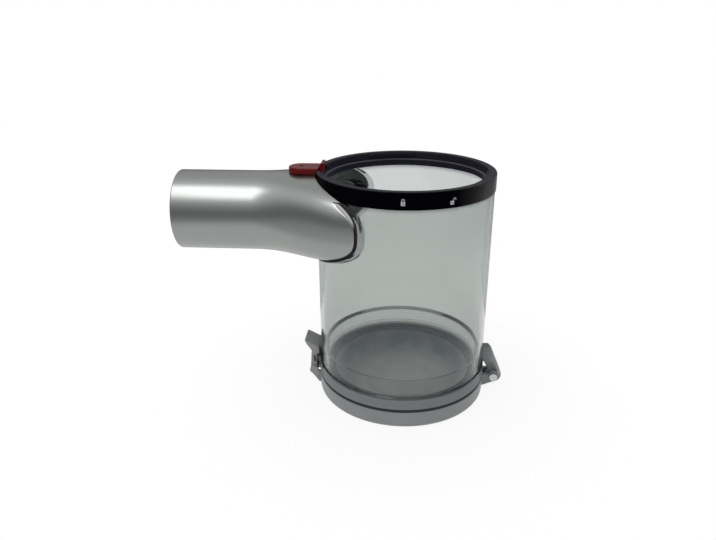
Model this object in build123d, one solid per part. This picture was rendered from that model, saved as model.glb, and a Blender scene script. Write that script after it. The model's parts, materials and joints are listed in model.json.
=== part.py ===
from build123d import *
import os
from math import cos, pi, sin

# Dust bin of a stick vacuum cleaner, in millimetres.
# The bin's axis is Z and the floor it stands on is z = 0.
# The inlet duct points along -X, the latch is under it, and the hinge is at +X.

# Heights of the main pieces
OVERALL_H = 150.0
LID_H = 11.0
SEAM_GAP = 2.4

# Clear bin tube
TUBE_R = 54.4
TUBE_WALL = 2.3
FLANGE_PROUD = 0.8
FLANGE_H = 8.4
BAND_T = 4.6
BAND_H = 18.4
BAND_RAMP = 1.2
SMALL_BREAK = 0.4

# Black collar at the top of the tube
COLLAR_PROUD = 0.6
COLLAR_H = 9.9
SKIRT_WALL = 1.3
RIM_WALL = 4.7
COUNTERBORE_DEPTH = 4.8
SEAT_STEP = 1.7
SEAT_DEPTH = 8.2
COLLAR_CEILING = 1.3
COLLAR_ROUND = 0.7
COLLAR_FIT = 0.08
LUG_COUNT = 3
LUG_START = 84.0
LUG_SWEEP = 36.0
LUG_REACH = 1.2
LUG_TOP = 0.7
LUG_H = 1.6
NOTCH_FLOOR = 3.1

# Inlet duct: a round socket that flares to a wide oval at the bin
PIPE_R = 24.9
ROOF_DROP = 2.7
PIPE_REACH = 87.2
PIPE_WALL = 2.4
SOCKET_LENGTH = 41.6
SOCKET_STOP = 0.8
RIM_ROUND = 0.7
FLARE_REACH = 38.6
FLARE_LENGTH = 70.0
FLARE_SPREAD = 0.7
FULLNESS_LEAD = 1.5
FLARE_STATIONS = 8
STRAIGHT_STATIONS = 4
QUARTER_POINTS = 8
NECK_INSET = 4.3
NECK_FULLNESS = 3.0
NECK_WALL = 3.7
NECK_BOTTOM_WALL = 2.4
MOUTH_TOP_GAP = 1.9
DROP_LENGTH = 28.0
NECK_H = 1.5
GASKET_T = 1.4
GASKET_INSET = 0.5
SEAT_FIT = 0.05
EAVE_GAP = 0.4

# Red release slider on the duct's roof
PAD_LENGTH = 21.8
PAD_W = 16.0
PAD_T = 3.5
PAD_GAP = 0.3
PAD_ROUND = 0.8
DIMPLE_R = 1.3
DIMPLE_DEPTH = 0.5
TONGUE_T = 2.8
TONGUE_W = 10.0
TONGUE_H = 2.8
TONGUE_LEAN = 0.6
TONGUE_REACH = 0.3
NOTCH_SIDE_GAP = 1.0
SLIDER_TRAVEL = 4.0
STEM_W = 5.0
STEM_LENGTH = 8.0
RAIL_W = 9.0
RAIL_H = 2.7
RAIL_SKIN = 2.4
RAIL_GAP = 0.2
RAIL_SETBACK = 3.9
SLIDER_SPRING_LENGTH = 10.0
SLIDER_SPRING_R = 1.0
SLIDER_SPRING_WIRE = 0.2
SLIDER_SPRING_TURNS = 6

# Base lid and its seal
LID_FLOOR = 2.5
LID_RIM_WALL = 2.3
LID_EDGE_ROUND = 3.0
PLUG_RISE = 5.8
PLUG_WALL = 2.4
DISH_COVE = 7.0
SEAL_ROOM = 2.4
SEAL_T = 1.4
SEAL_SKIRT = 1.6
SEAL_SIDE = 1.2
SEAL_LIP = 0.5
SEAL_GAP = 0.35
RIM_SEAL_INSET = 0.5
RIM_SEAL_GAP = 0.2

# Hinge at +X
HINGE_STANDOFF = 7.4
HINGE_DROP = 2.0
HINGE_PIN_R = 2.0
PIN_HEAD_R = 2.7
PIN_HEAD_T = 0.8
BRACKET_R = 5.5
BRACKET_HALF_W = 2.6
BRACKET_RISE = 8.5
BRACKET_REACH = 4.1
BRACKET_SHOULDER = 2.0
BRACKET_TANGENT = 22.0
BRACKET_CROTCH = 130.0
KNUCKLE_R = 3.6
KNUCKLE_T = 2.8
GUSSET_LOW = 2.4
SIDE_PLAY = 0.3
PIN_PROUD = 0.4
PIN_COVER = 0.8
PRESS_FIT = 0.02
RUNNING_FIT = 0.06
ROOT_DEPTH = 1.2

# Torsion springs
HINGE_SPRING_R = 3.0
HINGE_SPRING_WIRE = 0.35
HINGE_SPRING_TURNS = 3.5
HINGE_SPRING_TILT = 20.0
LATCH_SPRING_R = 1.95
LATCH_SPRING_WIRE = 0.25
LATCH_SPRING_TURNS = 3.25
LATCH_SPRING_LEG = 6.0
COIL_PITCH = 2.6
LEG_GAP = 0.4

# Latch at -X
LATCH_STANDOFF = 4.0
LATCH_RISE = 0.4
LATCH_PIN_R = 1.25
LATCH_EAR_R = 2.9
LATCH_EAR_T = 2.1
LATCH_BARREL_R = 2.7
LATCH_HALF_W = 6.0
LATCH_LIP_HALF_W = 8.2
LATCH_BARREL_IN = 1.9
LATCH_STEM_T = 2.9
LATCH_OVER = 4.6
LATCH_LIP_REACH = 4.8
LATCH_LIP_H = 7.0
LATCH_LIP_T = 2.6
LATCH_FLARE_LOW = 6.0
LATCH_FLARE_HIGH = 12.0
LATCH_WEB_HALF_W = 3.0
LATCH_SKIN = 1.2
LATCH_SLOT_H = 6.0
HOOK_H = 2.5
HOOK_TIP_H = 1.0
HOOK_HALF_W = 4.5
HOOK_GAP = 0.3
KEEPER_REACH = 2.0
KEEPER_H = 3.0
KEEPER_RAMP = 3.2
KEEPER_SIDE = 0.5
HOOK_STANDOFF = 0.4
HOOK_BITE = 1.6
LATCH_CORNER = 2.2

# Values worked out from the sizes above
BIN_Z = LID_H + SEAM_GAP
FLANGE_R = TUBE_R + FLANGE_PROUD
FLANGE_TOP = BIN_Z + FLANGE_H
TUBE_IN_R = TUBE_R - TUBE_WALL
BAND_R = TUBE_R - BAND_T
COLLAR_R = TUBE_R + COLLAR_PROUD
COUNTERBORE_R = COLLAR_R - RIM_WALL
SEAT_R = COUNTERBORE_R - SEAT_STEP
COLLAR_Z = OVERALL_H - COLLAR_H
SKIRT_IN_R = COLLAR_R - SKIRT_WALL
REBATE_R = SKIRT_IN_R - COLLAR_FIT
GROOVE_TOP = OVERALL_H - COUNTERBORE_DEPTH - COLLAR_CEILING
TUBE_TOP = GROOVE_TOP - COLLAR_FIT
ROOF_Z = OVERALL_H - ROOF_DROP
PIPE_Z = ROOF_Z - PIPE_R
SOCKET_R = PIPE_R - PIPE_WALL
NECK_HALF_W = TUBE_R - NECK_INSET
FLARE_HALF_W = NECK_HALF_W + FLARE_SPREAD
PIPE_END_X = -TUBE_R - PIPE_REACH
FLARE_START_X = -TUBE_R - FLARE_REACH
FLARE_END_X = FLARE_START_X + FLARE_LENGTH
SOCKET_END_X = PIPE_END_X + SOCKET_LENGTH
THROAT_R = SOCKET_R - SOCKET_STOP
DROP_END_X = SOCKET_END_X + DROP_LENGTH
MOUTH_TOP = COLLAR_Z - MOUTH_TOP_GAP
MOUTH_BOTTOM = PIPE_Z - PIPE_R + NECK_BOTTOM_WALL
MOUTH_Z = (MOUTH_TOP + MOUTH_BOTTOM) / 2
MOUTH_HALF_H = (MOUTH_TOP - MOUTH_BOTTOM) / 2
MOUTH_HALF_W = NECK_HALF_W - NECK_WALL
NECK_R = TUBE_R + NECK_H
DUCT_TRIM_R = NECK_R + GASKET_T + 2 * SEAT_FIT
NECK_TOP = COLLAR_Z - SEAT_FIT
PLUG_R = BAND_R - SEAL_ROOM
PLUG_TOP = LID_H + PLUG_RISE
HINGE_X = FLANGE_R + HINGE_STANDOFF
HINGE_Z = LID_H - HINGE_DROP
LATCH_X = -FLANGE_R - LATCH_STANDOFF
LATCH_Z = LID_H + LATCH_RISE
LATCH_TOP = FLANGE_TOP + LATCH_OVER
KNUCKLE_IN = BRACKET_HALF_W + SIDE_PLAY
KNUCKLE_OUT = KNUCKLE_IN + KNUCKLE_T
LATCH_EAR_IN = LATCH_HALF_W + SIDE_PLAY
LATCH_EAR_OUT = LATCH_EAR_IN + LATCH_EAR_T
LATCH_PIN_END = LATCH_EAR_OUT - PIN_COVER
KEEPER_X = -(FLANGE_R + KEEPER_REACH)
LATCH_INNER_X = KEEPER_X - HOOK_STANDOFF
HOOK_X = KEEPER_X + HOOK_BITE
HOOK_Z = FLANGE_TOP + HOOK_GAP
LATCH_OUTER_X = LATCH_INNER_X - LATCH_STEM_T
TONGUE_BACK_X = -COUNTERBORE_R + TONGUE_REACH
PAD_Z = ROOF_Z + PAD_GAP
PAD_TOP = PAD_Z + PAD_T
PAD_END_X = TONGUE_BACK_X - PAD_LENGTH
RAIL_TOP = ROOF_Z - RAIL_SKIN
RAIL_BOTTOM = RAIL_TOP - RAIL_H
RAIL_BACK_X = -COLLAR_R - RAIL_SETBACK
RAIL_FRONT_X = RAIL_BACK_X - STEM_LENGTH
SLOT_END_X = RAIL_FRONT_X - SLIDER_SPRING_LENGTH
BIG = 4 * OVERALL_H
TOUCH = 1e-3


def plate(points, y_low, y_high):
    """A flat plate across Y from a closed outline of (x, z) points."""
    outline = Polyline(*[(x, y_low, z) for x, z in points], close=True)
    return extrude(Face(Wire(outline.edges())), y_high - y_low, dir=(0, 1, 0))


def rod(x, z, radius, y_low, y_high):
    """A round bar along Y."""
    return extrude(Plane((x, y_low, z), z_dir=(0, 1, 0)) * Circle(radius), y_high - y_low)


def block(low, high):
    """A box between two corners."""
    size = [b - a for a, b in zip(low, high)]
    return Pos(*low) * Box(*size, align=(Align.MIN, Align.MIN, Align.MIN))


def drum(radius, z_low, z_high):
    """A solid cylinder on the bin's axis."""
    return Pos(0, 0, z_low) * Cylinder(
        radius, z_high - z_low, align=(Align.CENTER, Align.CENTER, Align.MIN)
    )


def turned(points, sweep=360.0, start=0.0):
    """A body turned about the bin's axis from a closed outline of (radius, z) points."""
    outline = Polyline(*[(r, 0, z) for r, z in points], close=True)
    return Rot(0, 0, start) * revolve(Face(Wire(outline.edges())), Axis.Z, revolution_arc=sweep)


def rings(solid, radius, z):
    """The round edges of a turned body at one radius and height."""
    found = solid.edges().filter_by(GeomType.CIRCLE)
    return [e for e in found if abs(e.radius - radius) < TOUCH and abs(e.arc_center.Z - z) < TOUCH]


def ease(t):
    """A smooth step from 0 to 1."""
    t = min(max(t, 0.0), 1.0)
    return (1 - cos(pi * t)) / 2


def oval(x, z, half_w, half_h, fullness):
    """A closed oval across the duct: fullness 2 is an ellipse, more is squarer."""
    quarters = []
    for y_sign, z_sign in ((1, 1), (-1, 1), (-1, -1), (1, -1)):
        points = []
        for i in range(QUARTER_POINTS + 1):
            turn = pi / 2 * i / QUARTER_POINTS
            side = abs(cos(turn)) ** (2 / fullness) if i < QUARTER_POINTS else 0.0
            rise = sin(turn) ** (2 / fullness)
            points.append((x, y_sign * half_w * side, z + z_sign * half_h * rise))
        quarters.append(Spline(*points, tangents=((0, 0, z_sign), (0, -y_sign, 0))))
    return Face(Wire(quarters))


def coil(radius, wire, turns, pitch):
    """A round-wire coil along Z, and the line of its wire."""
    line = Helix(pitch, pitch * turns, radius)
    wire_end = Plane(line @ 0, z_dir=line % 0) * Circle(wire)
    return sweep(wire_end, path=line, is_frenet=True), line


def torsion_spring(centre, start, way, radius, wire, turns, legs):
    """A coil round a pin along Y, with a straight leg at each end of its wire.

    start points from the pin to where the wire begins, way is the side along Y to which the coil
    runs, and legs are the two legs' lengths.
    """
    body, line = coil(radius, wire, turns, COIL_PITCH * wire)
    for end, along, length in ((line @ 0, -(line % 0), legs[0]), (line @ 1, line % 1, legs[1])):
        body += extrude(Plane(end, z_dir=along) * Circle(wire), length)
    return Plane(centre, x_dir=start, z_dir=(0, way, 0)) * body


# Clear bin tube
def mouth_cut():
    """The airway through the bin's wall."""
    return extrude(
        oval(-TUBE_R - 2 * NECK_H, MOUTH_Z, MOUTH_HALF_W, MOUTH_HALF_H, NECK_FULLNESS),
        TUBE_R,
        dir=(1, 0, 0),
    )


def neck_block(inset=0.0):
    """The oval block on which the duct's flare ends, cut off under the collar."""
    block_x = -TUBE_R - 2 * NECK_H
    outline = oval(block_x, PIPE_Z, NECK_HALF_W - inset, PIPE_R - inset, NECK_FULLNESS)
    full = extrude(outline, TUBE_R, dir=(1, 0, 0))
    return full - block((-BIG, -BIG, NECK_TOP - inset), (BIG, BIG, BIG))


def on_bracket(angle):
    """A point on the bracket's round end, by its angle from +X."""
    turn = angle * pi / 180
    return HINGE_X + BRACKET_R * cos(turn), HINGE_Z + BRACKET_R * sin(turn)


def hinge_bracket():
    """The sloping bracket in the middle of the hinge, in which the pin is held."""
    root_x = TUBE_R - ROOT_DEPTH
    top = FLANGE_TOP + BRACKET_RISE
    outline = [
        (root_x, top),
        (TUBE_R + BRACKET_REACH, top),
        (TUBE_R + BRACKET_REACH + BRACKET_SHOULDER, top - BRACKET_SHOULDER),
        on_bracket(BRACKET_TANGENT),
        (HINGE_X, HINGE_Z),
        on_bracket(BRACKET_CROTCH),
        (FLANGE_R + SMALL_BREAK, FLANGE_TOP - BRACKET_SHOULDER),
        (root_x, FLANGE_TOP - BRACKET_SHOULDER),
    ]
    arm = plate(outline, -BRACKET_HALF_W, BRACKET_HALF_W)
    arm += rod(HINGE_X, HINGE_Z, BRACKET_R, -BRACKET_HALF_W, BRACKET_HALF_W)
    return arm - rod(HINGE_X, HINGE_Z, HINGE_PIN_R + PRESS_FIT, -BIG, BIG)


def keeper():
    """The wedge that the latch hooks over, on the flange's top edge."""
    root_x = -TUBE_R + ROOT_DEPTH
    outline = [
        (root_x, FLANGE_TOP),
        (KEEPER_X, FLANGE_TOP),
        (KEEPER_X, FLANGE_TOP - KEEPER_H),
        (-FLANGE_R, FLANGE_TOP - KEEPER_H - KEEPER_RAMP),
        (root_x, FLANGE_TOP - KEEPER_H - KEEPER_RAMP),
    ]
    half = HOOK_HALF_W + KEEPER_SIDE
    return plate(outline, -half, half)


def bin_tube():
    band_top = BIN_Z + BAND_H
    wall = turned(
        [
            (BAND_R, BIN_Z),
            (FLANGE_R, BIN_Z),
            (FLANGE_R, FLANGE_TOP - SMALL_BREAK),
            (FLANGE_R - SMALL_BREAK, FLANGE_TOP),
            (TUBE_R, FLANGE_TOP),
            (TUBE_R, COLLAR_Z),
            (REBATE_R, COLLAR_Z),
            (REBATE_R, TUBE_TOP),
            (TUBE_IN_R, TUBE_TOP),
            (TUBE_IN_R, band_top + BAND_RAMP),
            (BAND_R, band_top),
        ]
    )
    neck = neck_block() & drum(NECK_R, 0, OVERALL_H)
    neck -= drum(TUBE_R - TUBE_WALL / 2, 0, OVERALL_H)
    return wall + neck - mouth_cut() + hinge_bracket() + keeper()


# Collar
def collar_notch():
    """The gap in the collar's rim for the slider's tongue."""
    half = PAD_W / 2 + NOTCH_SIDE_GAP
    return block((-COLLAR_R - 1, -half, OVERALL_H - NOTCH_FLOOR), (-SEAT_R + 1, half, OVERALL_H + 1))


def collar_ring():
    ledge = OVERALL_H - COUNTERBORE_DEPTH
    inside_r = TUBE_IN_R - COLLAR_FIT
    ring = turned(
        [
            (COLLAR_R, COLLAR_Z),
            (COLLAR_R, OVERALL_H),
            (COUNTERBORE_R, OVERALL_H),
            (COUNTERBORE_R, ledge),
            (SEAT_R, ledge),
            (SEAT_R, OVERALL_H - SEAT_DEPTH),
            (inside_r, OVERALL_H - SEAT_DEPTH),
            (inside_r, GROOVE_TOP),
            (SKIRT_IN_R, GROOVE_TOP),
            (SKIRT_IN_R, COLLAR_Z),
        ]
    )
    top_edges = rings(ring, COLLAR_R, OVERALL_H) + rings(ring, COUNTERBORE_R, OVERALL_H)
    ring = fillet(top_edges, COLLAR_ROUND)
    lug_top = OVERALL_H - LUG_TOP
    lug_r = COUNTERBORE_R - LUG_REACH
    outer_r = (COUNTERBORE_R + COLLAR_R) / 2
    lug = [(lug_r, lug_top - LUG_H), (lug_r, lug_top), (outer_r, lug_top), (outer_r, lug_top - LUG_H)]
    for i in range(LUG_COUNT):
        ring += turned(lug, LUG_SWEEP, LUG_START + i * 360 / LUG_COUNT)
    return ring - collar_notch()


# Inlet duct
def duct_outside():
    """Round pipe that widens into the neck's oval with its roof and floor kept level."""
    sections = []
    for i in range(STRAIGHT_STATIONS):
        x = PIPE_END_X + (FLARE_START_X - PIPE_END_X) * i / STRAIGHT_STATIONS
        sections.append(oval(x, PIPE_Z, PIPE_R, PIPE_R, 2.0))
    for i in range(FLARE_STATIONS + 1):
        step = ease(i / FLARE_STATIONS)
        half_w = PIPE_R + (FLARE_HALF_W - PIPE_R) * step
        fullness = 2.0 + (NECK_FULLNESS - 2.0) * ease(FULLNESS_LEAD * i / FLARE_STATIONS)
        x = FLARE_START_X + FLARE_LENGTH * i / FLARE_STATIONS
        sections.append(oval(x, PIPE_Z, half_w, PIPE_R, fullness))
    sections.append(oval(FLARE_END_X / 2, PIPE_Z, FLARE_HALF_W, PIPE_R, NECK_FULLNESS))
    return loft(sections)


def airway():
    """Throat behind the socket's stop, dropping under the slider's slot to the bin's mouth."""
    sections = []
    for i in range(FLARE_STATIONS + 2):
        x = SOCKET_END_X + (FLARE_END_X - SOCKET_END_X) * i / (FLARE_STATIONS + 1)
        wide = ease((x - FLARE_START_X) / FLARE_LENGTH)
        drop = ease((x - SOCKET_END_X) / (DROP_END_X - SOCKET_END_X))
        half_w = THROAT_R + (MOUTH_HALF_W - THROAT_R) * wide
        top = PIPE_Z + THROAT_R + (MOUTH_TOP - PIPE_Z - THROAT_R) * drop
        bottom = PIPE_Z - THROAT_R + (MOUTH_BOTTOM - PIPE_Z + THROAT_R) * drop
        fullness = 2.0 + (NECK_FULLNESS - 2.0) * wide
        sections.append(oval(x, (top + bottom) / 2, half_w, (top - bottom) / 2, fullness))
    sections.append(oval(FLARE_END_X / 2, MOUTH_Z, MOUTH_HALF_W, MOUTH_HALF_H, NECK_FULLNESS))
    return loft(sections)


def slider_slot():
    """T-shaped slot in the duct's roof, open at the bin so that the slider can be fed in."""
    neck_half = STEM_W / 2 + RAIL_GAP
    head_half = RAIL_W / 2 + RAIL_GAP
    neck = block(
        (RAIL_FRONT_X - SLIDER_TRAVEL - RAIL_GAP, -neck_half, RAIL_TOP), (0, neck_half, OVERALL_H)
    )
    head = block((SLOT_END_X, -head_half, RAIL_BOTTOM - RAIL_GAP), (0, head_half, RAIL_TOP + RAIL_GAP))
    return neck + head


def bin_clearance():
    """Room for the bin in the duct's end, with an eave that reaches over the gasket to the collar."""
    eave_r = COLLAR_R + EAVE_GAP
    return turned(
        [
            (0, 0),
            (DUCT_TRIM_R, 0),
            (DUCT_TRIM_R, COLLAR_Z),
            (eave_r, COLLAR_Z),
            (eave_r, OVERALL_H),
            (0, OVERALL_H),
        ]
    )


def inlet_duct():
    duct = duct_outside()
    rim = duct.edges().filter_by_position(Axis.X, PIPE_END_X - TOUCH, PIPE_END_X + TOUCH)
    duct = fillet(rim, RIM_ROUND)
    socket_end = Plane((PIPE_END_X, 0, PIPE_Z), z_dir=(1, 0, 0))
    middle = (Align.CENTER, Align.CENTER, Align.MIN)
    duct -= socket_end * Cylinder(SOCKET_R, SOCKET_LENGTH, align=middle)
    duct -= socket_end * Cone(SOCKET_R + RIM_ROUND, SOCKET_R, RIM_ROUND, align=middle)
    duct -= airway()
    return duct - bin_clearance() - slider_slot()


def neck_gasket():
    sheet = neck_block(GASKET_INSET) & drum(NECK_R + SEAT_FIT + GASKET_T, 0, OVERALL_H)
    return sheet - drum(NECK_R + SEAT_FIT, 0, OVERALL_H) - mouth_cut()


# Release slider
def release_slider():
    half = PAD_W / 2
    pad = Pos(PAD_END_X + half, 0, PAD_Z) * Cylinder(
        half, PAD_T, align=(Align.CENTER, Align.CENTER, Align.MIN)
    )
    pad += block((PAD_END_X + half, -half, PAD_Z), (TONGUE_BACK_X - TONGUE_T, half, PAD_TOP))
    pad = fillet(pad.edges().group_by(Axis.Z)[-1], PAD_ROUND)
    dimple = Pos(PAD_END_X + half, 0, PAD_TOP)
    pad -= dimple * Cylinder(DIMPLE_R, 2 * DIMPLE_DEPTH)
    front_x = TONGUE_BACK_X - TONGUE_T
    tongue = plate(
        [
            (front_x - TOUCH, PAD_Z),
            (TONGUE_BACK_X, PAD_Z),
            (TONGUE_BACK_X + TONGUE_LEAN, PAD_TOP + TONGUE_H),
            (front_x + 2 * TONGUE_LEAN, PAD_TOP + TONGUE_H),
        ],
        -TONGUE_W / 2,
        TONGUE_W / 2,
    )
    tongue = fillet(tongue.edges().group_by(Axis.Z)[-1].filter_by(Axis.Y), PAD_ROUND)
    stem = block((RAIL_FRONT_X, -STEM_W / 2, RAIL_BOTTOM), (RAIL_BACK_X, STEM_W / 2, PAD_Z))
    rail = block((RAIL_FRONT_X, -RAIL_W / 2, RAIL_BOTTOM), (RAIL_BACK_X, RAIL_W / 2, RAIL_TOP))
    return pad + tongue + stem + rail


def slider_spring():
    length = SLIDER_SPRING_LENGTH - 2 * SLIDER_SPRING_WIRE - 2 * RAIL_GAP
    body, line = coil(
        SLIDER_SPRING_R, SLIDER_SPRING_WIRE, SLIDER_SPRING_TURNS, length / SLIDER_SPRING_TURNS
    )
    start = SLOT_END_X + SLIDER_SPRING_WIRE + RAIL_GAP
    return Plane((start, 0, (RAIL_TOP + RAIL_BOTTOM) / 2), z_dir=(1, 0, 0)) * body


# Base lid
def lid_arms():
    """Two knuckles on the hinge pin, each on an arm from the lid's rim."""
    root_x = FLANGE_R - ROOT_DEPTH
    outline = [
        (root_x, GUSSET_LOW),
        (FLANGE_R + SMALL_BREAK, GUSSET_LOW),
        (HINGE_X, HINGE_Z - KNUCKLE_R),
        (HINGE_X, HINGE_Z),
        (HINGE_X - KNUCKLE_R, LID_H - SMALL_BREAK),
        (root_x, LID_H - SMALL_BREAK),
    ]
    arms = []
    for y_low in (-KNUCKLE_OUT, KNUCKLE_IN):
        y_high = y_low + KNUCKLE_OUT - KNUCKLE_IN
        arm = plate(outline, y_low, y_high) + rod(HINGE_X, HINGE_Z, KNUCKLE_R, y_low, y_high)
        arms.append(arm - rod(HINGE_X, HINGE_Z, HINGE_PIN_R + RUNNING_FIT, -BIG, BIG))
    return arms


def latch_ears():
    """Two ears with a slanted gusset, which carry the latch pin."""
    root_x = -FLANGE_R + ROOT_DEPTH
    outline = [
        (root_x, GUSSET_LOW),
        (-FLANGE_R - SMALL_BREAK, GUSSET_LOW),
        (LATCH_X - LATCH_EAR_R, LATCH_Z - SMALL_BREAK),
        (LATCH_X + LATCH_EAR_R, LATCH_Z),
        (LATCH_X + LATCH_EAR_R, LID_H - SMALL_BREAK),
        (root_x, LID_H - SMALL_BREAK),
    ]
    ears = []
    for y_low in (-LATCH_EAR_OUT, LATCH_EAR_IN):
        y_high = y_low + LATCH_EAR_T
        ear = plate(outline, y_low, y_high) + rod(LATCH_X, LATCH_Z, LATCH_EAR_R, y_low, y_high)
        ears.append(ear - rod(LATCH_X, LATCH_Z, LATCH_PIN_R + PRESS_FIT, -LATCH_PIN_END, LATCH_PIN_END))
    return ears


def base_lid():
    rim_in = FLANGE_R - LID_RIM_WALL
    plug_in = PLUG_R - PLUG_WALL
    dish = turned(
        [
            (0, 0),
            (FLANGE_R, 0),
            (FLANGE_R, LID_H),
            (rim_in, LID_H),
            (rim_in, LID_FLOOR),
            (PLUG_R, LID_FLOOR),
            (PLUG_R, PLUG_TOP),
            (plug_in, PLUG_TOP),
            (plug_in, LID_FLOOR),
            (0, LID_FLOOR),
        ]
    )
    dish = fillet(rings(dish, FLANGE_R, 0), LID_EDGE_ROUND)
    dish = fillet(rings(dish, plug_in, LID_FLOOR), DISH_COVE)
    dish = fillet(rings(dish, FLANGE_R, LID_H), SMALL_BREAK)
    for piece in lid_arms() + latch_ears():
        dish += piece
    return dish


def lid_seal():
    """A rubber cap on the plug's edge, with a lip that wipes the bin's band."""
    inner = PLUG_R - PLUG_WALL
    side = PLUG_R + SEAL_SIDE
    low = PLUG_TOP - SEAL_SKIRT
    high = PLUG_TOP + SEAL_T
    lip = BAND_R - SEAL_GAP
    middle = (low + high) / 2
    return turned(
        [
            (inner, PLUG_TOP + SEAT_FIT),
            (inner, high - SMALL_BREAK),
            (inner + SMALL_BREAK, high),
            (side, high),
            (lip, middle + SEAL_LIP / 2),
            (lip, middle - SEAL_LIP / 2),
            (side, low),
            (PLUG_R + SEAT_FIT, low),
            (PLUG_R + SEAT_FIT, PLUG_TOP + SEAT_FIT),
        ]
    )


def rim_seal():
    """A flat rubber ring on the lid's rim, under the bin's lower edge."""
    inner = FLANGE_R - LID_RIM_WALL
    outer = FLANGE_R - RIM_SEAL_INSET
    low = LID_H + SEAT_FIT
    high = BIN_Z - RIM_SEAL_GAP
    return turned([(inner, low), (outer, low), (outer, high), (inner, high)])


# Latch
def latch_lever():
    tip_x = LATCH_OUTER_X - LATCH_LIP_REACH
    tip_z = LATCH_TOP + LATCH_LIP_H
    side = [
        (LATCH_X - LATCH_BARREL_R, LATCH_Z),
        (LATCH_OUTER_X, LATCH_TOP),
        (tip_x, tip_z - SMALL_BREAK),
        (tip_x + SMALL_BREAK, tip_z + SMALL_BREAK),
        (HOOK_X, LATCH_TOP + LATCH_LIP_T),
        (HOOK_X, HOOK_Z + HOOK_H),
        (LATCH_INNER_X, HOOK_Z + HOOK_TIP_H),
        (LATCH_INNER_X, LATCH_Z + LATCH_BARREL_R),
        (LATCH_X + LATCH_BARREL_R, LATCH_Z),
    ]
    lever = plate(side, -LATCH_LIP_HALF_W, LATCH_LIP_HALF_W)
    plan = RectangleRounded(-tip_x, 2 * LATCH_LIP_HALF_W, LATCH_CORNER)
    lever &= extrude(Pos(tip_x / 2, 0, 0) * plan, OVERALL_H)
    lever += rod(LATCH_X, LATCH_Z, LATCH_BARREL_R, -LATCH_HALF_W, LATCH_HALF_W)
    flare_low = LATCH_Z + LATCH_FLARE_LOW
    flare_high = LATCH_Z + LATCH_FLARE_HIGH
    for s in (-1, 1):
        waist = Polyline(
            (-BIG, s * LATCH_HALF_W, 0),
            (-BIG, s * LATCH_HALF_W, flare_low),
            (-BIG, s * LATCH_LIP_HALF_W, flare_high),
            (-BIG, s * LATCH_LIP_HALF_W * 2, flare_high),
            (-BIG, s * LATCH_LIP_HALF_W * 2, 0),
            close=True,
        )
        lever -= extrude(Face(Wire(waist.edges())), BIG, dir=(1, 0, 0))
        slot_y = sorted((s * LATCH_WEB_HALF_W, s * LATCH_LIP_HALF_W * 2))
        lever -= block(
            (LATCH_OUTER_X + LATCH_SKIN, slot_y[0], flare_low - LATCH_SKIN),
            (LATCH_INNER_X - LATCH_SKIN / 2, slot_y[1], flare_low - LATCH_SKIN + LATCH_SLOT_H),
        )
    hook = plate(
        [
            (LATCH_INNER_X - LATCH_SKIN / 2, HOOK_Z),
            (HOOK_X, HOOK_Z),
            (HOOK_X, HOOK_Z + HOOK_H),
            (LATCH_INNER_X - LATCH_SKIN / 2, HOOK_Z + HOOK_H),
        ],
        -HOOK_HALF_W,
        HOOK_HALF_W,
    )
    lever += hook
    spring_room = LATCH_SPRING_LEG + LEG_GAP
    lever -= block((-BIG, -LATCH_BARREL_IN, 0), (0, LATCH_BARREL_IN, LATCH_Z + spring_room))
    return lever - rod(LATCH_X, LATCH_Z, LATCH_PIN_R + RUNNING_FIT, -BIG, BIG)


# Springs and pins
def hinge_spring():
    """On the pin's far end: one leg bears on the bin's flange, the other on the lid's rim."""
    tilt = HINGE_SPRING_TILT * pi / 180
    room = HINGE_X - FLANGE_R - LEG_GAP
    legs = [(room + s * HINGE_SPRING_R * sin(tilt)) / cos(tilt) for s in (1, -1)]
    centre = (HINGE_X, KNUCKLE_OUT + SIDE_PLAY + 3 * HINGE_SPRING_WIRE, HINGE_Z)
    start = (sin(tilt), 0, cos(tilt))
    return torsion_spring(
        centre, start, 1, HINGE_SPRING_R, HINGE_SPRING_WIRE, HINGE_SPRING_TURNS, legs
    )


def latch_spring():
    """On the latch pin: one leg lies in the lever's slot, the other bears on the lid's rim."""
    legs = [LATCH_SPRING_LEG, LATCH_STANDOFF - LEG_GAP]
    run = COIL_PITCH * LATCH_SPRING_WIRE * LATCH_SPRING_TURNS
    return torsion_spring(
        (LATCH_X, run / 2, LATCH_Z),
        (-1, 0, 0),
        -1,
        LATCH_SPRING_R,
        LATCH_SPRING_WIRE,
        LATCH_SPRING_TURNS,
        legs,
    )


def hinge_pin():
    """A rod with a flat head at its near end, long enough at the far end for the spring."""
    head_y = -KNUCKLE_OUT - PIN_PROUD
    spring_run = COIL_PITCH * HINGE_SPRING_WIRE * (HINGE_SPRING_TURNS + 2)
    shank = rod(HINGE_X, HINGE_Z, HINGE_PIN_R, head_y, KNUCKLE_OUT + spring_run + PIN_HEAD_T)
    return shank + rod(HINGE_X, HINGE_Z, PIN_HEAD_R, head_y - PIN_HEAD_T, head_y)


def latch_pin():
    end = LATCH_PIN_END - SEAT_FIT
    return rod(LATCH_X, LATCH_Z, LATCH_PIN_R, -end, end)


PIECES = {
    "bin_tube": bin_tube,
    "collar_ring": collar_ring,
    "inlet_duct": inlet_duct,
    "neck_gasket": neck_gasket,
    "release_slider": release_slider,
    "slider_spring": slider_spring,
    "base_lid": base_lid,
    "lid_seal": lid_seal,
    "rim_seal": rim_seal,
    "hinge_pin": hinge_pin,
    "hinge_spring": hinge_spring,
    "latch_lever": latch_lever,
    "latch_pin": latch_pin,
    "latch_spring": latch_spring,
}

os.makedirs("parts", exist_ok=True)
for name, make in PIECES.items():
    export_step(make(), f"parts/{name}.step")
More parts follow.
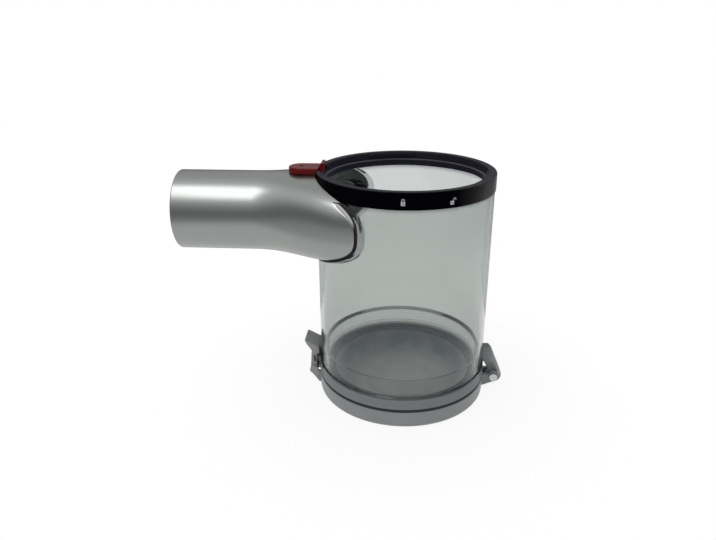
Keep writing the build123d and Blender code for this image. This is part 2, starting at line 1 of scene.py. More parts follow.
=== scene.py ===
# %% [markdown]
# # A clear dust bin with a flared inlet duct
# The solids of this vacuum-cleaner bin come from a CAD pack, in metres, each at its true place.
# This lesson dresses them: it gives every piece a finish, grows the duct and the springs from rules,
# wraps two signs round the collar, and lights the bin as a small studio would.

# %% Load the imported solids
import json
import math

import bpy
from mathutils import Matrix, Vector


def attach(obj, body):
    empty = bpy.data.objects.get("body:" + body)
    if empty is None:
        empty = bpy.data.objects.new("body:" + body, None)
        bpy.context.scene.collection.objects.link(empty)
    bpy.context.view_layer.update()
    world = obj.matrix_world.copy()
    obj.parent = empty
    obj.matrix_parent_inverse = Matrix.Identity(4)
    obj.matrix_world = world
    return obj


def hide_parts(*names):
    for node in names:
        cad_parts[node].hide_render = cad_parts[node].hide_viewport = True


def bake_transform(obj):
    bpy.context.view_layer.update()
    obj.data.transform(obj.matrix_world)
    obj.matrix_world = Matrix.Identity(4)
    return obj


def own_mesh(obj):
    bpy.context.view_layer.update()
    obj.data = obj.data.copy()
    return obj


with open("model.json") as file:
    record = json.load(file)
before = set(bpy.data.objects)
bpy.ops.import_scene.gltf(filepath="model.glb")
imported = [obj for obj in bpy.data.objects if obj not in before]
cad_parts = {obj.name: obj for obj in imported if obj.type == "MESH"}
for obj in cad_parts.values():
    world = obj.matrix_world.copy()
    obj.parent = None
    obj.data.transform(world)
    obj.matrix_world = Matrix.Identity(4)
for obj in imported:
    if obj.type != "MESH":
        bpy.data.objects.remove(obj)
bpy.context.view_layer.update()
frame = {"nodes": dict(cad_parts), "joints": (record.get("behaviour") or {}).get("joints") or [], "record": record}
MM = 0.001


def mm(*values):
    """Several lengths in millimetres, as metres."""
    return tuple(value * MM for value in values)


print("solids:", sorted(frame["nodes"]))

# %% [markdown]
# ## Writing node trees as sums
# Materials and Geometry Nodes are both graphs, and a graph made link by link is hard to read.
# One small class wraps a socket, so that a line of ordinary arithmetic adds the Math nodes it needs.
# Every other kind of node comes from its one method, which takes the kind, the settings and the inputs.

# %% A socket that does arithmetic
class Flow:
    def __init__(self, tree, socket=None):
        self.tree = tree
        self.socket = socket

    def feed(self, socket, value):
        if isinstance(value, Flow):
            self.tree.links.new(value.socket, socket)
        else:
            socket.default_value = value

    def node(self, kind, settings=None, inputs=None, out=0):
        made = self.tree.nodes.new(kind)
        for name, value in (settings or {}).items():
            setattr(made, name, value)
        for key, value in (inputs or {}).items():
            self.feed(made.inputs[key], value)
        return Flow(self.tree, made.outputs[out])

    def math(self, operation, *values):
        return self.node("ShaderNodeMath", {"operation": operation}, dict(enumerate(values)))

    def __add__(self, other):
        return self.math("ADD", self, other)

    def __radd__(self, other):
        return self.math("ADD", other, self)

    def __sub__(self, other):
        return self.math("SUBTRACT", self, other)

    def __rsub__(self, other):
        return self.math("SUBTRACT", other, self)

    def __mul__(self, other):
        return self.math("MULTIPLY", self, other)

    def __rmul__(self, other):
        return self.math("MULTIPLY", other, self)

    def __truediv__(self, other):
        return self.math("DIVIDE", self, other)

    def __rtruediv__(self, other):
        return self.math("DIVIDE", other, self)

    def __pow__(self, other):
        return self.math("POWER", self, other)

    def __abs__(self):
        return self.math("ABSOLUTE", self)


print("a socket takes + - * / ** and abs")


# %% [markdown]
# Most masks are steps. A sharp one comes from a comparison, a straight one rises from one value to
# another, and a smooth one eases in and out along half a cosine.

# %% Steps and limits
def highest(a, b):
    flow = a if isinstance(a, Flow) else b
    return flow.math("MAXIMUM", a, b)


def lowest(a, b):
    flow = a if isinstance(a, Flow) else b
    return flow.math("MINIMUM", a, b)


def over(value, limit):
    return value.math("GREATER_THAN", value, limit)


def under(value, limit):
    return value.math("LESS_THAN", value, limit)


def between(value, start, end):
    """0 at start, 1 at end, a straight line between them, and held beyond; end may be the lower one."""
    return lowest(highest((value - start) / (end - start), 0.0), 1.0)


def eased(t):
    """A smooth step from 0 to 1, flat at both ends."""
    held = lowest(highest(t, 0.0), 1.0)
    return (1.0 - held.math("COSINE", math.pi * held)) / 2.0


print("steps: sharp by over and under, straight by between, smooth by eased")

# %% [markdown]
# ## The camera
# The photograph looks at the bin from the front and a little from above, at arm's length, with the duct
# to the left. A camera was fitted to the collar's rims, the lid's seam and the tube's sides, so here its
# place, its turn and its lens are plain numbers. The picture is 716 pixels wide, and the lens is given
# for Blender's 36 mm sensor.

# %% Camera at the photograph's place
PHOTO_W = 716
FOCAL_PX = 640.0
SENSOR = 36.0
CAMERA_AT = Vector(mm(0.0, -385.719, 240.656))
YAW, PITCH, ROLL = -0.076, 0.388, -0.005
NEAREST = 10 * MM

ahead = Vector((math.sin(YAW) * math.cos(PITCH), math.cos(YAW) * math.cos(PITCH), -math.sin(PITCH)))
level = Vector((math.cos(YAW), -math.sin(YAW), 0.0))
above = level.cross(ahead)
right = level * math.cos(ROLL) + above * math.sin(ROLL)
up = above * math.cos(ROLL) - level * math.sin(ROLL)

camera_data = bpy.data.cameras.new("photo_camera")
camera_data.sensor_width = SENSOR
camera_data.sensor_fit = "HORIZONTAL"
camera_data.lens = FOCAL_PX / PHOTO_W * SENSOR
camera_data.clip_start = NEAREST
camera = bpy.data.objects.new("photo_camera", camera_data)
bpy.context.scene.collection.objects.link(camera)
turn = Matrix((right, up, -ahead)).transposed().to_4x4()
camera.matrix_world = Matrix.Translation(CAMERA_AT) @ turn
bpy.context.scene.camera = camera
bpy.context.scene.view_settings.view_transform = "Standard"
print("lens", round(camera_data.lens, 2), "mm")

# %% [markdown]
# ## Finishes
# Each finish starts from one Principled shader. What is the same all over, such as the index of
# refraction, is a number on its socket. What varies, such as the grain of moulded plastic, reads the
# piece's own Object coordinates, so that it stays put when the lid swings. A rim, a ledge or a bore is
# picked out by where it lies: x, y, z, or r, the distance from the bin's axis. Such a place is named as
# the two values between which its mask goes from 0 to 1. The colour and the roughness that a finish
# starts with are plain stand-ins, for a viewer that follows no nodes.

# %% Helpers that start a finish
finishes = {}


def finish_of(name, colour, roughness, **constants):
    material = bpy.data.materials.new(name)
    material.use_nodes = True
    shader = material.node_tree.nodes["Principled BSDF"]
    shader.inputs["Base Color"].default_value = (*colour, 1.0)
    shader.inputs["Roughness"].default_value = roughness
    for socket, value in constants.items():
        shader.inputs[socket.replace("_", " ")].default_value = value
    flow = Flow(material.node_tree)
    place = flow.node("ShaderNodeTexCoord", out="Object")
    return material, shader, flow, place


def noise(flow, place, per_metre, detail):
    return flow.node("ShaderNodeTexNoise", None, {"Vector": place, "Scale": per_metre, "Detail": detail})


def stretched(flow, place, factors):
    return flow.node("ShaderNodeVectorMath", {"operation": "MULTIPLY"}, {0: place, 1: factors})


def tinted(flow, mask, first, second):
    """A colour that goes from first to second as the mask goes from 0 to 1."""
    ends = [c if isinstance(c, Flow) else (*c, 1.0) for c in (first, second)]
    return flow.node("ShaderNodeMix", {"data_type": "RGBA"}, {0: mask, 6: ends[0], 7: ends[1]}, out=2)


def varied(mask, low, high):
    """A number that goes from low to high as the mask goes from 0 to 1."""
    return low + (high - low) * mask


def bumped(flow, shader, height, depth, strength):
    bump = flow.node("ShaderNodeBump", None, {"Height": height, "Distance": depth, "Strength": strength})
    flow.feed(shader.inputs["Normal"], bump)


def axes_of(flow, place):
    split = flow.node("ShaderNodeSeparateXYZ", None, {0: place}).socket.node
    x, y, z = [Flow(flow.tree, socket) for socket in split.outputs]
    return x, y, z, (x * x + y * y) ** 0.5


print("finishes read x, y, z and r on the piece")

# %% [markdown]
# The bin is smoke-grey clear plastic. Light that crosses a wall loses about a quarter to the tint, and
# more where it runs along the wall, so a tinted transmission gives the first loss and an absorbing
# volume gives the second. Painted shade darkens the wall towards the top and just under the collar,
# draws a dark line on the ledge inside at the back and a dark edge low inside the back wall, and fills
# the gap by the latch's keeper. Painted light clears the front of the thick lower wall, and rubbing
# marks show in the gloss only.

# %% Smoked clear plastic: its tints and where they lie
CLEAR_TINT = (0.77, 0.785, 0.765)
UNDER_COLLAR_SHADE_TINT = (0.735, 0.75, 0.735)
COLLAR_SHADOW_TINT = (0.42, 0.42, 0.45)
NECK_TINT = (0.34, 0.35, 0.36)
BRACKET_TINT = (0.40, 0.41, 0.41)
BRACKET_END_TINT = (0.66, 0.68, 0.67)
BAND_FRONT_LIGHT_TINT = (0.99, 0.99, 0.99)
LEDGE_SHADE_TINT = (0.11, 0.12, 0.13)
PAINTED_SHADE_TINT = (0.03, 0.035, 0.05)

BEHIND_Y = mm(-10, 15)
UNDER_COLLAR_SHADE_Z = mm(95, 125)
COLLAR_SHADOW_Z = mm(137.5, 139.8)
NECK_R, NECK_Z = mm(54.5, 54.7), mm(90, 91)
BRACKET_X, BRACKET_Y = mm(54.45, 54.7), mm(2.9, 2.7)
BRACKET_END_X = mm(57, 65)
BAND_R, BAND_Z = mm(52.05, 52.0), mm(33.3, 33.2)
LEDGE_LOW, LEDGE_HIGH, LEDGE_R = mm(31.5, 33.3, 52.6)
LOW_BACK_SHADE_R, LOW_BACK_SHADE_TOP = mm(50.6, 50.4), 19.9 * MM
KEEPER_X, KEEPER_Z = mm(-55.4, -55.8), mm(40, 38)
FLANGE_Z = mm(20.5, 19.5)
OUTER_R = mm(53.0, 53.5)


def smoked_tint(flow, x, y, z, r):
    """The plastic's colour, from the broad tint to the smallest marks, painted shade and painted light among them.
    """
    behind = between(y, *BEHIND_Y)
    on_neck = between(r, *NECK_R) * between(z, *NECK_Z)
    on_bracket = between(x, *BRACKET_X) * between(abs(y), *BRACKET_Y)
    bracket_tint = tinted(flow, between(x, *BRACKET_END_X), BRACKET_TINT, BRACKET_END_TINT)
    on_band = between(r, *BAND_R) * between(z, *BAND_Z)
    # painted shade: a dark line on the ledge inside at the back, where refraction draws a dark edge
    ledge_shade = over(z, LEDGE_LOW) * under(z, LEDGE_HIGH) * under(r, LEDGE_R) * behind
    # painted shade: a dark edge low inside the back wall
    low_back_shade = under(z, LOW_BACK_SHADE_TOP) * between(r, *LOW_BACK_SHADE_R) * behind
    # painted shade: the gap between the latch and the bin, by the keeper
    keeper_gap_shade = between(x, *KEEPER_X) * between(z, *KEEPER_Z)
    # painted shade: the wall's tint darkens towards the top, below the collar
    tint = tinted(flow, between(z, *UNDER_COLLAR_SHADE_Z), CLEAR_TINT, UNDER_COLLAR_SHADE_TINT)
    # painted shadow: a dark band just under the collar
    tint = tinted(flow, between(z, *COLLAR_SHADOW_Z), tint, COLLAR_SHADOW_TINT)
    tint = tinted(flow, on_neck, tint, NECK_TINT)
    tint = tinted(flow, on_bracket, tint, bracket_tint)
    # painted light: the front of the thick lower wall is lighter
    tint = tinted(flow, on_band * (1.0 - behind), tint, BAND_FRONT_LIGHT_TINT)
    tint = tinted(flow, ledge_shade, tint, LEDGE_SHADE_TINT)
    return tinted(flow, highest(low_back_shade, keeper_gap_shade), tint, PAINTED_SHADE_TINT), on_bracket


# the second tint is painted light on the front of the thick lower wall
print("clear tint", CLEAR_TINT, "and", BAND_FRONT_LIGHT_TINT, "where it is rubbed")

# %% [markdown]
# The foot flange and the hinge bracket are etched, so there the gloss is rougher, and part of the outer
# surface is mixed with a dull one.

# %% Smoked clear plastic: gloss, etching and smoke
CLEAR_IOR = 1.42
GLOSS, RUBBED_ROUGH, ETCHED_ROUGH = 0.01, 0.04, 0.3
RUBBING_PER_METRE = 900.0
FROST_TONE, FROST_SHARE, BRACKET_END_LOSS = (0.275, 0.287, 0.297, 1.0), 0.65, 0.5
SMOKE = {"Color": (0.80, 0.82, 0.82, 1.0), "Density": 380.0}


def smoked_clear():
    material, shader, flow, place = finish_of(
        "smoked_clear", CLEAR_TINT, roughness=0.04, Transmission_Weight=1.0, IOR=CLEAR_IOR
    )
    x, y, z, r = axes_of(flow, place)
    tint, on_bracket = smoked_tint(flow, x, y, z, r)
    flow.feed(shader.inputs["Base Color"], tint)
    rubbed = noise(flow, place, RUBBING_PER_METRE, detail=3.0)
    etched = highest(on_bracket, between(z, *FLANGE_Z))
    flow.feed(shader.inputs["Roughness"], GLOSS + RUBBED_ROUGH * rubbed + ETCHED_ROUGH * etched)
    kept = 1.0 - BRACKET_END_LOSS * between(x, *BRACKET_END_X)
    share = FROST_SHARE * etched * between(r, *OUTER_R) * kept
    glass = Flow(flow.tree, shader.outputs[0])
    frosted = flow.node("ShaderNodeBsdfDiffuse", None, {"Color": FROST_TONE})
    surface = flow.node("ShaderNodeMixShader", None, {0: share, 1: glass, 2: frosted})
    output = flow.tree.nodes["Material Output"]
    flow.feed(output.inputs["Surface"], surface)
    flow.feed(output.inputs["Volume"], flow.node("ShaderNodeVolumeAbsorption", None, SMOKE))
    return material


finishes["smoked_clear"] = smoked_clear()
print("smoked clear nodes:", len(finishes["smoked_clear"].node_tree.nodes))

# %% [markdown]
# The duct is moulded plastic with a satin silver lacquer: metal flakes under a soft sheen.
# It is metallic, with a fine flake in the colour and in the roughness. The lacquer is drawn along the
# duct, so a second noise is stretched that way. It is sprayed on from outside, so the airway is left
# bare and dark: there the surface faces the duct's own axis, and its normal tells.

# %% Satin silver lacquer
socket_mount = next(mount for mount in frame["record"]["mounts"] if mount["name"] == "inlet_socket")
DUCT_Z = socket_mount["pos_m"][2]
SILVER = (0.27, 0.28, 0.273)
SILVER_LOW, SILVER_HIGH = (0.272, 0.282, 0.274), (0.312, 0.323, 0.314)
BARE_TONE = (0.05, 0.053, 0.062)
OVERSPRAY_X = mm(-141, -125)
FLAKE_PER_METRE, FLAKE_SHARE = 5200.0, 0.6
DRAWN_PER_METRE = (40.0, 900.0, 900.0)
FLAKE_DEPTH, FLAKE_STRENGTH = 0.004 * MM, 0.05
SILVER_ROUGH = (0.26, 0.33)


def faces_duct_axis(flow, y, z):
    from_axis = flow.node("ShaderNodeCombineXYZ", None, {1: y, 2: z - DUCT_Z})
    normal = flow.node("ShaderNodeNewGeometry", out="Normal")
    dot = {"operation": "DOT_PRODUCT"}
    return under(flow.node("ShaderNodeVectorMath", dot, {0: from_axis, 1: normal}, out="Value"), 0.0)


def silver_satin():
    material, shader, flow, place = finish_of("silver_satin", SILVER, roughness=0.28)
    x, y, z = axes_of(flow, place)[:3]
    flake = noise(flow, place, FLAKE_PER_METRE, detail=1.0)
    drawn = noise(flow, stretched(flow, place, DRAWN_PER_METRE), per_metre=1.0, detail=2.0)
    mask = FLAKE_SHARE * flake + (1.0 - FLAKE_SHARE) * drawn
    bare = faces_duct_axis(flow, y, z) * between(x, *OVERSPRAY_X)
    lacquer = tinted(flow, mask, SILVER_LOW, SILVER_HIGH)
    flow.feed(shader.inputs["Base Color"], tinted(flow, bare, lacquer, BARE_TONE))
    flow.feed(shader.inputs["Metallic"], 1.0 - bare)
    flow.feed(shader.inputs["Roughness"], varied(mask, *SILVER_ROUGH))
    bumped(flow, shader, flake, FLAKE_DEPTH, FLAKE_STRENGTH)
    return material


finishes["silver_satin"] = silver_satin()
print("lacquer stops inside the duct, whose axis is", round(DUCT_Z / MM, 1), "mm up")

# %% [markdown]
# The collar is black plastic with almost no gloss of its own. Its rim and its bore are painted greyer, a painted
# sheen, and its ledge paler, a painted highlight.
# A thin polish, with faint haze from handling, shows on the right of its outside and a little on the rim.

# %% Black collar
BLACK = (0.001, 0.001, 0.002)
BLACK_LOW, BLACK_HIGH = (0.0004, 0.0004, 0.001), (0.0012, 0.0012, 0.002)
BORE_SHEEN_TONE, RIM_SHEEN_TONE, SHELF_HIGHLIGHT_TONE = (0.018, 0.018, 0.026), (0.024, 0.025, 0.031), (0.10, 0.10, 0.12)
BORE_R = mm(50.45, 50.35)
RIM_R, RIM_Z = mm(54.9, 54.4), mm(149.2, 149.6)
SHELF_R, SHELF_Z, SHELF_NEAR = mm(50.6, 50.4), 145.2 * MM, mm(0.3, 0.2)
BLACK_ROUGH, HAZY_COAT = (0.25, 0.40), (0.7, 1.3)
POLISHED_X, POLISHED_R, RIM_POLISH = mm(28, 50), mm(54.6, 54.8), 0.03


def black_gloss():
    material, shader, flow, place = finish_of(
        "black_gloss", BLACK, roughness=0.3, Specular_IOR_Level=0.01
    )
    x, _, z, r = axes_of(flow, place)
    haze = noise(flow, place, per_metre=160.0, detail=4.0)
    on_rim = between(z, *RIM_Z) * between(r, *RIM_R)
    on_shelf = between(abs(z - SHELF_Z), *SHELF_NEAR) * between(r, *SHELF_R)
    polished = highest(RIM_POLISH * on_rim, between(x, *POLISHED_X) * between(r, *POLISHED_R))
    flow.feed(shader.inputs["Coat Weight"], polished * varied(haze, *HAZY_COAT))
    flow.feed(shader.inputs["Roughness"], varied(haze, *BLACK_ROUGH))
    tone = tinted(flow, haze, BLACK_LOW, BLACK_HIGH)
    # painted sheen on the bore and the rim, painted highlight on the ledge
    tone = tinted(flow, between(r, *BORE_R), tone, BORE_SHEEN_TONE)
    tone = tinted(flow, on_rim, tone, RIM_SHEEN_TONE)
    flow.feed(shader.inputs["Base Color"], tinted(flow, on_shelf, tone, SHELF_HIGHLIGHT_TONE))
    return material


finishes["black_gloss"] = black_gloss()
print("black collar:", finishes["black_gloss"].name)

# %% [markdown]
# The lid and the latch are grey plastic from a lightly etched mould. The inside of the lid's dish is
# painted paler than its outside, as painted light for the light that the tinted wall holds back, and
# paler again in its middle; its back wall is painted darker as painted shade, and clouds and a faint
# ring vary its grey. The ring gap round the dish is painted paler still, as painted light.

# %% Grey lid and latch
GREY = (0.2, 0.21, 0.21)
GREY_LOW, GREY_HIGH, LATCH_GREY = (0.21, 0.225, 0.226), (0.245, 0.26, 0.26), (0.28, 0.295, 0.295)
DISH_EDGE_LIGHT, DISH_MIDDLE_LIGHT, DISH_BACK_SHADE = (0.50, 0.52, 0.53), (0.60, 0.61, 0.60), (0.20, 0.235, 0.285)
RING_GREY, CLOUD_GREY, GAP_LIGHT_GREY = (0.40, 0.42, 0.44), (0.42, 0.44, 0.46), (0.8, 0.82, 0.82)
LATCH_X, LID_TOP_Z = mm(-56, -57), mm(1, 2)
MIDDLE_R, BACK_WALL_R, BACK_WALL_Y = mm(36, 28), mm(38, 43), mm(0, 20)
RING_R, RING_NEAR, RING_SHARE = 22 * MM, mm(2.2, 0.8), 0.3
CLOUDY, CLOUD_SHARE = (0.42, 0.6), 0.4
DISH_R, GAP_R = mm(45.2, 45.1), mm(53.1, 53.0)
GRAIN_DEPTH, GRAIN_STRENGTH = 0.02 * MM, 0.18
GREY_ROUGH = (0.32, 0.52)


# painted light in the dish, paler in the middle, and painted shade on its back wall; clouds and a ring vary it
def dish_tone(flow, y, r, cloud):
    tone = tinted(flow, between(r, *MIDDLE_R), DISH_EDGE_LIGHT, DISH_MIDDLE_LIGHT)
    tone = tinted(flow, between(r, *BACK_WALL_R) * between(y, *BACK_WALL_Y), tone, DISH_BACK_SHADE)
    tone = tinted(flow, RING_SHARE * between(abs(r - RING_R), *RING_NEAR), tone, RING_GREY)
    return tinted(flow, CLOUD_SHARE * between(cloud, *CLOUDY), tone, CLOUD_GREY)


def grey_plastic():
    material, shader, flow, place = finish_of("grey_plastic", GREY, roughness=0.4)
    x, y, z, r = axes_of(flow, place)
    grain = noise(flow, place, per_metre=2600.0, detail=2.0)
    cloud = noise(flow, place, per_metre=60.0, detail=3.0)
    over_foot = between(z, *LID_TOP_Z)
    tone = tinted(flow, cloud, GREY_LOW, GREY_HIGH)
    tone = tinted(flow, between(x, *LATCH_X), tone, LATCH_GREY)
    # painted light: the ring gap round the dish, seen through the thick lower wall
    tone = tinted(flow, over_foot * between(r, *GAP_R), tone, GAP_LIGHT_GREY)
    tone = tinted(flow, over_foot * between(r, *DISH_R), tone, dish_tone(flow, y, r, cloud))
    flow.feed(shader.inputs["Base Color"], tone)
    flow.feed(shader.inputs["Roughness"], varied(grain, *GREY_ROUGH))
    bumped(flow, shader, grain, GRAIN_DEPTH, GRAIN_STRENGTH)
    return material


finishes["grey_plastic"] = grey_plastic()
print("dish paler inside", round(DISH_R[0] / MM, 1), "mm")

# %% [markdown]
# The slider is a dark red plastic, a little cloudy in its colour and in its gloss.

# %% Red slider
RED = (0.095, 0.007, 0.007)
RED_LOW, RED_HIGH = (0.095, 0.005, 0.006), (0.135, 0.008, 0.009)
RED_ROUGH = (0.24, 0.38)


def red_plastic():
    material, shader, flow, place = finish_of(
        "red_plastic", RED, roughness=0.3, Specular_IOR_Level=0.12
    )
    cloud = noise(flow, place, per_metre=220.0, detail=3.0)
    flow.feed(shader.inputs["Base Color"], tinted(flow, cloud, RED_LOW, RED_HIGH))
    flow.feed(shader.inputs["Roughness"], varied(cloud, *RED_ROUGH))
    return material


finishes["red_plastic"] = red_plastic()
print("red slider:", finishes["red_plastic"].name)

# %% [markdown]
# The seals and the gasket are soft dark rubber with a little dust in it. The lid seal's lip is painted
# pale as painted light, and the upper gasket as a painted sheen. The lid seal's inner part is greyer,
# painted paler at its front as painted light, and the seam is greyer.

# %% Dark rubber
RUBBER = (0.018, 0.019, 0.026)
RUBBER_LOW, RUBBER_HIGH = (0.012, 0.013, 0.018), (0.026, 0.027, 0.035)
CAP_TONE, CAP_FRONT_LIGHT_TONE = (0.10, 0.112, 0.14), (0.40, 0.41, 0.42)
SEAM_TONE, PAINTED_LIGHT_TONE = (0.042, 0.044, 0.054), (0.52, 0.52, 0.55)
CAP_R, FRONT_Y = mm(50, 49.8), mm(-35, -48)
LIP_R, LIP_FOOT_Z, LIP_TOP_Z = mm(47.3, 47.5), mm(14, 14.2), mm(17.6, 17.2)
GASKET_SHEEN_R, GASKET_SHEEN_Z = mm(56.4, 56.8), mm(127, 131)
SEAM_R, SEAM_Z = mm(52, 52.4), mm(20, 19)
DUST_DEPTH, DUST_STRENGTH = 0.03 * MM, 0.3
RUBBER_ROUGH = (0.6, 0.8)


def dark_rubber():
    material, shader, flow, place = finish_of(
        "dark_rubber", RUBBER, roughness=0.7, Specular_IOR_Level=0.05
    )
    y, z, r = axes_of(flow, place)[1:]
    dust = noise(flow, place, per_metre=1500.0, detail=3.0)
    # painted light on the lid seal's lip, and painted sheen on the upper gasket
    lip = between(r, *LIP_R) * between(z, *LIP_FOOT_Z) * between(z, *LIP_TOP_Z)
    gasket_sheen = between(r, *GASKET_SHEEN_R) * between(z, *GASKET_SHEEN_Z)
    # painted light at the front of the lid seal's inner part
    cap_tone = tinted(flow, between(y, *FRONT_Y), CAP_TONE, CAP_FRONT_LIGHT_TONE)
    tone = tinted(flow, dust, RUBBER_LOW, RUBBER_HIGH)
    tone = tinted(flow, between(r, *CAP_R), tone, cap_tone)
    tone = tinted(flow, between(r, *SEAM_R) * between(z, *SEAM_Z), tone, SEAM_TONE)
    flow.feed(shader.inputs["Base Color"], tinted(flow, highest(lip, gasket_sheen), tone, PAINTED_LIGHT_TONE))
    flow.feed(shader.inputs["Roughness"], varied(dust, *RUBBER_ROUGH))
    bumped(flow, shader, dust, DUST_DEPTH, DUST_STRENGTH)
    return material


finishes["dark_rubber"] = dark_rubber()
print("dark rubber:", finishes["dark_rubber"].name)

# %% [markdown]
# Pins and springs are drawn steel: bright at the hinge, and painted darker at the latch as painted
# shade. With that the finishes are complete, and each solid gets the one that its record names.

# %% Drawn steel, and every solid in its finish
LATCH_SHADE_X = mm(-20, -40)
STEEL_ROUGH, STEEL_SPREAD = (0.2, 0.38), (0.9, 1.08)


def drawn_steel(name, tone, latch_shade):
    material, shader, flow, place = finish_of(name, (tone,) * 3, roughness=0.28, Metallic=1.0)
    x = axes_of(flow, place)[0]
    drawn = noise(flow, place, per_metre=3500.0, detail=2.0)
    darker, lighter = [(tone * share,) * 3 for share in STEEL_SPREAD]
    bright = tinted(flow, drawn, darker, lighter)
    # painted shade: the steel darkens towards the latch
    flow.feed(shader.inputs["Base Color"], tinted(flow, between(x, *LATCH_SHADE_X), bright, (latch_shade,) * 3))
    flow.feed(shader.inputs["Roughness"], varied(drawn, *STEEL_ROUGH))
    return material


finishes["spring_steel"] = drawn_steel("spring_steel", tone=0.2, latch_shade=0.1)
finishes["pin_steel"] = drawn_steel("pin_steel", tone=0.5, latch_shade=0.03)
for row in frame["record"]["subparts"]:
    mesh = frame["nodes"][row["node"]].data
    mesh.materials.clear()
    mesh.materials.append(finishes[row["material_slot"]])
print("finishes:", sorted(finishes))

# %% [markdown]
# ## Growing pieces from rules
# A Geometry Nodes tree is a small program with named inputs. Here one helper starts such a tree, and
# another runs it once and keeps only the plain mesh that it made, so nothing is left to evaluate.

# %% Start a tree, and run it once
def start_tree(name, sizes):
    tree = bpy.data.node_groups.new(name, "GeometryNodeTree")
    tree.interface.new_socket("Mesh", in_out="OUTPUT", socket_type="NodeSocketGeometry")
    for label, value in sizes.items():
        kind = "NodeSocketVector" if isinstance(value, tuple) else "NodeSocketFloat"
        tree.interface.new_socket(label, in_out="INPUT", socket_type=kind)
    given = tree.nodes.new("NodeGroupInput")
    return Flow(tree), {label: Flow(tree, given.outputs[label]) for label in sizes}


def end_tree(flow, mesh, finish):
    real = flow.node("GeometryNodeRealizeInstances", None, {"Geometry": mesh})
    smooth = flow.node("GeometryNodeSetShadeSmooth", None, {"Geometry": real})
    dressed = flow.node("GeometryNodeSetMaterial", None, {"Geometry": smooth, "Material": finish})
    flow.feed(flow.tree.nodes.new("NodeGroupOutput").inputs[0], dressed)


def grow(name, tree, sizes):
    piece = bpy.data.objects.new(name, bpy.data.meshes.new(name))
    bpy.context.scene.collection.objects.link(piece)
    modifier = piece.modifiers.new("rule", "NODES")
    modifier.node_group = tree
    for item in tree.interface.items_tree:
        if item.in_out == "INPUT":
            modifier[item.identifier] = sizes[item.name]
    shown = piece.evaluated_get(bpy.context.evaluated_depsgraph_get())
    piece.data = bpy.data.meshes.new_from_object(shown)
    piece.modifiers.clear()
    piece.data.name = name
    print(name, "faces:", len(piece.data.polygons))
    return piece


def laid_out(flow, mesh, x, y, z):
    place = flow.node("ShaderNodeCombineXYZ", None, {0: x, 1: y, 2: z})
    return flow.node("GeometryNodeSetPosition", None, {"Geometry": mesh, "Position": place})


def position_of(flow):
    position = flow.node("GeometryNodeInputPosition")
    split = flow.node("ShaderNodeSeparateXYZ", None, {0: position}).socket.node
    return [Flow(flow.tree, socket) for socket in split.outputs]


print("a rule is run once, and its mesh is kept")

# %% [markdown]
# ## The inlet duct
# The duct starts as a round pipe and widens into a flat-topped oval that wraps the bin, while its roof
# and floor stay level. Such a shape is a rule: at each place along the pipe the section is a
# superellipse, whose width and squareness grow by one smooth step. A tube of unit size is laid out by
# that rule, a second one makes the airway, and boolean nodes cut the airway, the bin and the slider's
# slot out of it. The edge against the bin is rolled under, as on the real moulding, so that it catches
# a line of light.

# %% Sizes of the duct
DUCT = {
    "Pipe Radius": 24.9 * MM,
    "Pipe End": -141.6 * MM,
    "Axis Height": DUCT_Z,
    "Flare Start": -93.0 * MM,
    "Flare Length": 70.0 * MM,
    "Flare Half Width": 50.8 * MM,
    "Fullness Lead": 1.5,
    "Neck Fullness": 3.0,
    "Socket Radius": socket_mount["dims"]["r_mm"] * MM,
    "Socket End": -100.0 * MM,
    "Throat Radius": 21.7 * MM,
    "Drop Length": 28.0 * MM,
    "Mouth Half Width": 46.4 * MM,
    "Mouth Top": 138.2 * MM,
    "Mouth Bottom": 99.9 * MM,
    "Rim Round": 0.7 * MM,
    "Trim Radius": 57.4 * MM,
    "Edge Round": 0.7 * MM,
}
DUCT_REACH = -25 * MM
UNDER_COLLAR_RISE = mm(17, 14)
AIRWAY_OVERRUN = 1.0 * MM
ROUND = 2.0
print("duct runs from", round(DUCT["Pipe End"] / MM, 1), "to", round(DUCT_REACH / MM, 1), "mm, uncut")

# %% [markdown]
# Rows of points crowd near the tube's two ends, because the rolled edges lie there. An oval of fullness
# 2 is a circle or an ellipse, and a larger fullness is squarer.

# %% Outside and airway
ROUND_STEPS, LONG_STEPS, AIRWAY_STEPS = 192, 220, 64
CROWDING = 0.9
FULL_TURN = 2.0 * math.pi


def oval_side(value, fullness):
    return value.math("SIGN", value) * abs(value) ** (ROUND / fullness)


def rolled(depth, radius):
    """How far an edge of that radius draws in, at a depth from the edge."""
    short = highest(radius - depth, 0.0)
    return radius - highest(radius * radius - short * short, 0.0) ** 0.5


def unit_tube(flow, steps):
    return flow.node(
        "GeometryNodeMeshCylinder",
        {"fill_type": "TRIANGLE_FAN"},
        {"Vertices": ROUND_STEPS, "Side Segments": steps, "Radius": 1.0, "Depth": 1.0},
    )


